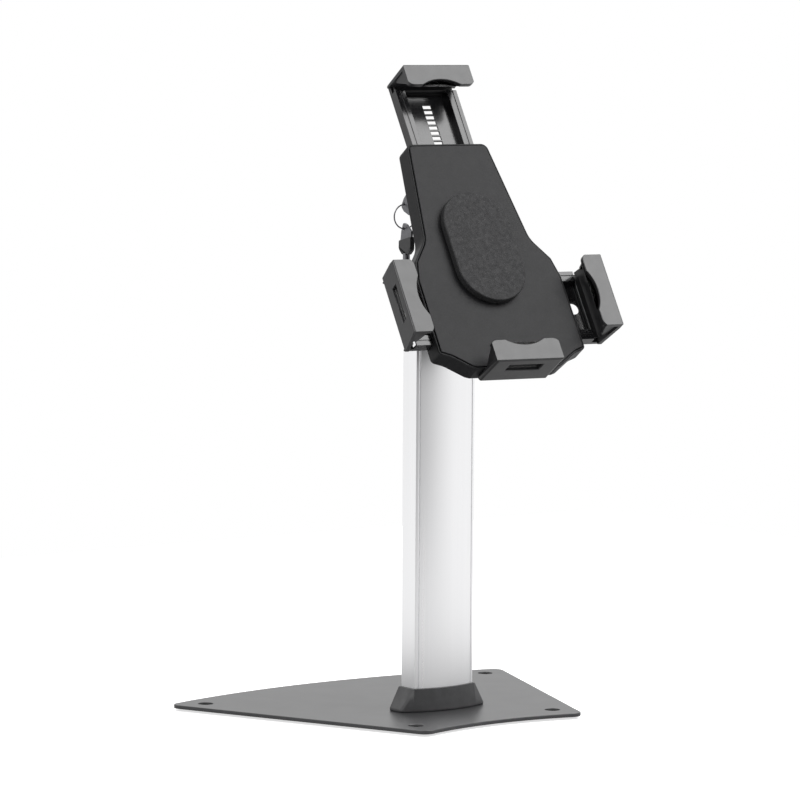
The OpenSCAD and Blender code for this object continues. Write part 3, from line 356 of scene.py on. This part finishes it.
def flat_regions(bm):
    """Groups of faces that lie in one plane, each with the loops of vertices that bound it.
    What is walked through is a list or a dict, because a set's order isn't the same each run."""
    seen = set()
    for first in bm.faces:
        if first in seen:
            continue
        group, todo = [], [first]
        seen.add(first)
        while todo:
            face = todo.pop()
            group.append(face)
            for edge in face.edges:
                for other in edge.link_faces:
                    if other not in seen and other.normal.angle(first.normal, 0) < SAME_PLANE:
                        seen.add(other)
                        todo.append(other)
        inside = set(group)
        beside = {}
        for face in group:
            for edge in face.edges:
                if any(other not in inside for other in edge.link_faces):
                    for vert in edge.verts:
                        beside.setdefault(vert, []).extend(edge.verts)
        loops = []
        left = dict.fromkeys(beside)
        while left:
            loop, todo = [], [left.popitem()[0]]
            while todo:
                vert = todo.pop()
                loop.append(vert)
                for other in beside[vert]:
                    if other in left:
                        del left[other]
                        todo.append(other)
            loops.append(loop)
        yield first.normal.copy(), group, loops


def middle(points):
    """The middle of the points' box and the length of its diagonal."""
    low = Vector([min(p[i] for p in points) for i in range(3)])
    high = Vector([max(p[i] for p in points) for i in range(3)])
    return (low + high) / 2, (high - low).length


def cuts_along(axis, holes):
    """Points for cuts across an axis that pass through every hole."""
    places = []
    for hole in holes:
        spans = [p.dot(axis) for p in hole]
        reach = (max(spans) - min(spans)) * CUT_REACH
        at = middle(hole)[0].dot(axis)
        if all(abs(at - place.dot(axis)) > reach for place in places):
            places.append(middle(hole)[0])
    return places


def cut_through_holes(bm, axes):
    """Seams through the holes of flat faces, so that each face left between seams has no hole."""
    tag = bm.faces.layers.int.new("region")
    jobs = []
    for number, (normal, group, loops) in enumerate(flat_regions(bm), 1):
        if len(loops) < 2:
            continue
        for face in group:
            face[tag] = number
        outlines = [[vert.co.copy() for vert in loop] for loop in loops]
        outlines.sort(key=lambda points: -middle(points)[1])
        best = None
        for axis in axes:
            if abs(axis.dot(normal)) > CROSSED:
                continue
            places = cuts_along(axis, outlines[1:])
            if best is None or len(places) < len(best[1]):
                best = (axis, places)
        if best:
            jobs.append((number, *best))
    for number, axis, places in jobs:
        for place in places:
            faces = [f for f in bm.faces if f[tag] == number]
            edges = list(dict.fromkeys(e for f in faces for e in f.edges))
            verts = list(dict.fromkeys(v for f in faces for v in f.verts))
            cut = bmesh.ops.bisect_plane(
                bm, geom=faces + edges + verts, dist=WELD, plane_co=place, plane_no=axis
            )["geom_cut"]
            for item in cut:
                if isinstance(item, bmesh.types.BMEdge):
                    item.seam = True


def edge_room(edge):
    """How far a bevel on this edge may reach before it meets another edge of the same faces."""
    mid = (edge.verts[0].co + edge.verts[1].co) / 2
    along = (edge.verts[1].co - edge.verts[0].co).normalized()
    room = FREE_ROOM
    for face in edge.link_faces:
        inward = face.normal.cross(along)
        for other in face.edges:
            if other is edge or set(other.verts) & set(edge.verts):
                continue
            if len(other.link_faces) == 2 and other.calc_face_angle(0) < NEARLY_FLAT:
                continue
            start, end = other.verts[0].co - mid, other.verts[1].co - mid
            back = start - end
            share = start.dot(back) / max(back.length_squared, LEAST_SQUARE)
            near = start - back * max(0.0, min(1.0, share))
            if near.length < abs(near.dot(inward)) * SIDE_REACH + SIDE_SLACK:
                room = min(room, near.length)
    return room


# The housing's edges in front of the first place are its rim's, and those behind the second its
# rear wall's, both along the way out of the holder from the point it turns on
RIM_FROM = -0.5 * MM
REAR_WALL_TO = -14.5 * MM
# A face looks out of the holder from this cosine
LOOKS_OUT = 0.5
# An edge this close to a key head's broad face lies on it
ON_FACE = 0.1 * MM


def on_shell(edge):
    """Whether an edge of the housing lies round its rim's outside or behind its rear wall."""
    ends = [vert.co - holder_at for vert in edge.verts]
    places = [end.dot(out_axis) for end in ends]
    if min(places) < RIM_FROM:
        return max(places) < REAR_WALL_TO
    outward = ends[0] + ends[1]
    normals = [face.normal for face in edge.link_faces]
    return all(n.dot(out_axis) > LOOKS_OUT or n.dot(outward) > 0 for n in normals)


def on_rim_of(node):
    """A test for the edges round the two broad faces of a moulded key head."""
    spans = [vert.co.dot(tilt_axis) for vert in nodes[node].data.vertices]
    low, high = min(spans), max(spans)

    def test(edge):
        across = [vert.co.dot(tilt_axis) for vert in edge.verts]
        return all(min(a - low, high - a) < ON_FACE for a in across)

    return test


# Which edges of a node are rounded, where it isn't every sharp one
ROUNDED_EDGES = {
    "rear_housing": on_shell,
    "key_head": on_rim_of("key_head"),
    "spare_key_head": on_rim_of("spare_key_head"),
}


def weigh_edges(bm, node, width):
    """Gives each edge to be rounded the share of the full width that has room there."""
    weights = bm.edges.layers.float.new("bevel_weight_edge")
    rounded = ROUNDED_EDGES.get(node, lambda edge: True)
    share = SHARES.get(node, SHARE)
    for edge in bm.edges:
        edge.seam = False
        if len(edge.link_faces) != 2 or not edge.is_convex or not rounded(edge):
            continue
        if edge.calc_face_angle(0) > SHARP:
            edge[weights] = min(1.0, share * edge_room(edge) / width)
    for _ in range(EVENING):
        least = {}
        for edge in bm.edges:
            if edge[weights] > 0:
                met = [e[weights] for v in edge.verts for e in v.link_edges]
                least[edge] = min(weight for weight in met if weight > 0)
        for edge, weight in least.items():
            edge[weights] = weight


def rounded_piece(node, width_mm):
    """Replaces a node by a piece of its shape with its sharp edges rounded over."""
    width = width_mm * MM
    body = body_of[node]
    axes = (Vector((1, 0, 0)), Vector((0, 1, 0)), Vector((0, 0, 1)))
    if body != "root":
        axes = (tilt_axis, up_axis, out_axis)
    bm = bmesh.new()
    bm.from_mesh(nodes[node].data)
    bmesh.ops.remove_doubles(bm, verts=bm.verts, dist=WELD)
    cut_through_holes(bm, axes)
    bmesh.ops.dissolve_limit(
        bm, angle_limit=SAME_PLANE, verts=bm.verts, edges=bm.edges,
        use_dissolve_boundaries=False, delimit={"SEAM"},
    )
    weigh_edges(bm, node, width)
    mesh = bpy.data.meshes.new(node + "_finish")
    bm.to_mesh(mesh)
    bm.free()
    piece = add_piece(node + "_finish", mesh, body, slot_of[node])
    bevel = piece.modifiers.new("bevel", "BEVEL")
    bevel.width = width
    bevel.segments = 3 if width_mm > BROAD else 2
    bevel.limit_method = "WEIGHT"
    bevel.use_clamp_overlap = False
    bevel.miter_outer = "MITER_ARC"
    evaluated = piece.evaluated_get(bpy.context.evaluated_depsgraph_get())
    piece.data = bpy.data.meshes.new_from_object(evaluated)
    piece.modifiers.clear()
    shade(piece.data, SHARP_WHEN_ROUNDED)
    weighted = piece.modifiers.new("weighted", "WEIGHTED_NORMAL")
    weighted.keep_sharp = True
    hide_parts(node)


# Every carried node gets its finish
for node, carried in nodes.items():
    paint(carried, slot_of[node])
    shade(carried.data, SHARP)

# Width of each rounded node's roundings, in millimetres
ROUNDING = {
    "base_plate": 0.5, "rubber_feet": 0.5, "column_collar": 0.8, "column": 0.35,
    "column_cap": 0.4, "hinge_bolt": 0.5, "hinge_nut": 0.5,
    "tilt_yoke": 0.6, "turn_bolt": 0.4, "turn_nut": 0.4, "rear_housing": 0.9,
    "front_plate": 0.5, "grip_pad": 1.0, "clamp_screws": 0.5, "lock_barrel": 0.25,
    "key": 0.3, "key_head": 0.6, "spare_key": 0.3, "spare_key_head": 0.6,
}
for side in ("top", "bottom", "left", "right"):
    ROUNDING[side + "_arm"] = 0.45
    ROUNDING[side + "_claw"] = 0.7
    ROUNDING[side + "_liner"] = 0.3
for node, width_mm in ROUNDING.items():
    rounded_piece(node, width_mm)

# Room
WHITE = (1, 1, 1, 1)
# How light it is for rays that neither the camera nor a reflection sends out
FILL = 0.42
# Reflections find the room white, but dimmer where the photographer stands and behind a screen
# at the rear: each a direction, the cosine at which it starts and the level in its middle
PHOTOGRAPHER = ((-0.57, -0.82, 0.0), 0.20, 0.30)
SCREEN = ((-0.087, 0.996, 0.0), 0.88, 0.35)

studio = bpy.data.worlds.new("studio")
scene.world = studio
studio.use_nodes = True
room = studio.node_tree
room.nodes.clear()
ray = room.nodes.new("ShaderNodeTexCoord").outputs["Generated"]


def dimming(way, start, level):
    """How light the room is, which falls from 1 to the given level towards the given way."""
    cosine = new_node(room, "ShaderNodeVectorMath", {0: ray, 1: way}, operation="DOT_PRODUCT")
    return map_range(
        room, cosine.outputs["Value"], (start, 1.0), (1.0, level), interpolation_type="SMOOTHSTEP"
    )


levels = {0: dimming(*PHOTOGRAPHER), 1: dimming(*SCREEN)}
level = new_node(room, "ShaderNodeMath", levels, operation="MULTIPLY").outputs[0]
backgrounds = [
    new_node(room, "ShaderNodeBackground", {"Color": WHITE, "Strength": strength}).outputs[0]
    for strength in (1.0, level, FILL)
]
new_node(room, "ShaderNodeOutputWorld", {0: by_ray(room, *backgrounds)})

# Lamps: the side of each square in metres and its power in watts
SOFTBOX = (1.2, 21)
LEFT_SOFTBOX = (0.8, 8)
SOFTBOX_AWAY = 1.5
BACK_LIGHT = (1.0, 6)
BACK_LIGHT_AT = Vector((-0.9, 1.6, 1.5))
BACK_LIGHT_AIM = Vector((0, 0, 0.25))


def square_lamp(name, at, aim, side, power):
    data = bpy.data.lights.new(name, "AREA")
    data.shape = "RECTANGLE"
    data.size = side
    data.size_y = side
    data.energy = power
    lamp = bpy.data.objects.new(name, data)
    scene.collection.objects.link(lamp)
    lamp.location = at
    lamp.rotation_mode = "QUATERNION"
    lamp.rotation_quaternion = (aim - at).to_track_quat("-Z", "Y")


def mirrored_by(normal):
    """Where a softbox stands that the holder's faces of this normal mirror to the camera."""
    way = ahead - 2 * ahead.dot(normal) * normal
    return holder_at + way * SOFTBOX_AWAY


# The second softbox gives the light lines on the bends and rims that face left
left_bend = (out_axis - tilt_axis).normalized()
square_lamp("softbox", mirrored_by(out_axis), holder_at, *SOFTBOX)
square_lamp("back_light", BACK_LIGHT_AT, BACK_LIGHT_AIM, *BACK_LIGHT)
square_lamp("left_softbox", mirrored_by(left_bend), holder_at, *LEFT_SOFTBOX)

# Floor: half its side in metres and its cells along a side
FLOOR_HALF = 1.0
FLOOR_CELLS = 8
FLOOR_COLOUR = (0.86, 0.86, 0.86, 1)
# What it adds to its own light when seen straight
FLOOR_SEEN = 0.66
# How light it is in a mirror, close to the object and far from it, and from where to where. The
# dimmer glow close to the object is a painted shade that stands in for the object's shadow in
# reflections
FLOOR_MIRRORED = (0.50, 1.0)
FLOOR_FADE = (0.20, 0.42)

floor_mesh = bpy.data.meshes.new("floor")
floor_bm = bmesh.new()
bmesh.ops.create_grid(
    floor_bm, x_segments=FLOOR_CELLS, y_segments=FLOOR_CELLS, size=FLOOR_HALF
)
floor_bm.to_mesh(floor_mesh)
floor_bm.free()
floor = bpy.data.objects.new("floor", floor_mesh)
scene.collection.objects.link(floor)

floor_white = bpy.data.materials.new("floor_white")
floor_white.use_nodes = True
tree = floor_white.node_tree
tree.nodes.clear()
place = tree.nodes.new("ShaderNodeNewGeometry").outputs["Position"]
away = new_node(tree, "ShaderNodeVectorMath", {0: place}, operation="LENGTH").outputs["Value"]
# Painted shade: the glow that reflections see is darker close to the object
mirror_glow_painted_shade = map_range(tree, away, FLOOR_FADE, FLOOR_MIRRORED, interpolation_type="SMOOTHSTEP")
plain = new_node(tree, "ShaderNodeBsdfDiffuse", {"Color": FLOOR_COLOUR}).outputs[0]
shine, mirrored = (
    new_node(tree, "ShaderNodeEmission", {"Color": WHITE, "Strength": strength}).outputs[0]
    for strength in (FLOOR_SEEN, mirror_glow_painted_shade)
)
seen = new_node(tree, "ShaderNodeAddShader", {0: plain, 1: shine}).outputs[0]
new_node(tree, "ShaderNodeOutputMaterial", {0: by_ray(tree, seen, mirrored, plain)})
floor_mesh.materials.append(floor_white)

scene.view_settings.view_transform = "Standard"
